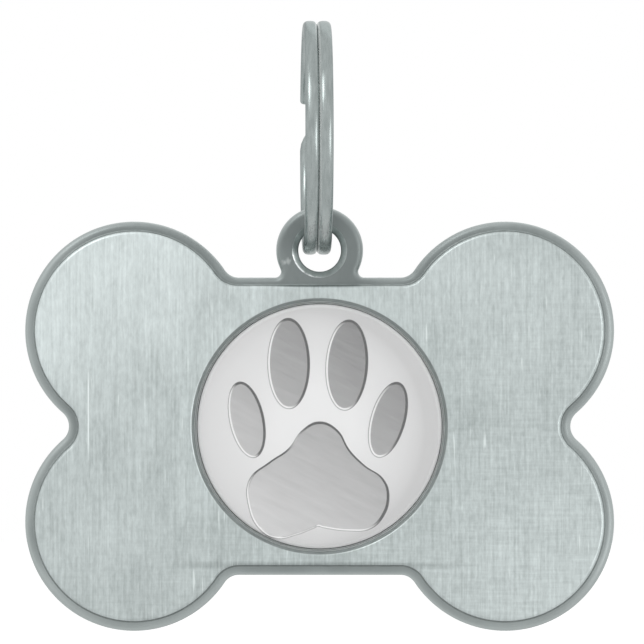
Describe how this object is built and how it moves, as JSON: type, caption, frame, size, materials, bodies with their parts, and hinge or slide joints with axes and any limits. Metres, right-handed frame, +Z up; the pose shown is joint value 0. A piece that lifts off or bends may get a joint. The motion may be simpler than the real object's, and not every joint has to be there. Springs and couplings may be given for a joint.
{
  "type": "pet id tag",
  "caption": "Bone-shaped pet tag with a raised brushed face, a crowned round insert with a pressed paw, and a split ring for hanging it from a collar",
  "frame": {"origin": "where the collar's loop bears on the inside of the split ring, at its top", "axes": "+Z up, as the tag hangs from the collar; the tag's brushed front and its paw face -Y; the tag's width runs along X, and the split ring stands in the YZ plane, square to the tag"},
  "size_m": [0.04, 0.0159, 0.0414],
  "materials": {
    "tag_body": "nickel-plated zinc casting, the raised face brushed from top to bottom, the border and eye tumbled smooth",
    "adhesive_pad": "double-sided foam adhesive",
    "backing_shell": "bare pressed steel sheet",
    "printed_disc": "white film printed with a grey paw",
    "clear_cover": "clear glossy film",
    "split_ring": "nickel-plated spring steel wire, bright"
  },
  "bodies": {
    "ring": {"split_ring": "split_ring"},
    "tag": {"tag_body": "tag_body", "adhesive_pad": "adhesive_pad", "backing_shell": "backing_shell", "printed_disc": "printed_disc", "clear_cover": "clear_cover"}
  },
  "joints": [
    {"name": "tag_sway", "type": "hinge", "parent": "ring", "child": "tag", "pos_m": [0, 0, -0.01465], "axis": [0, 1, 0], "range_deg": [-75, 75]}
  ]
}
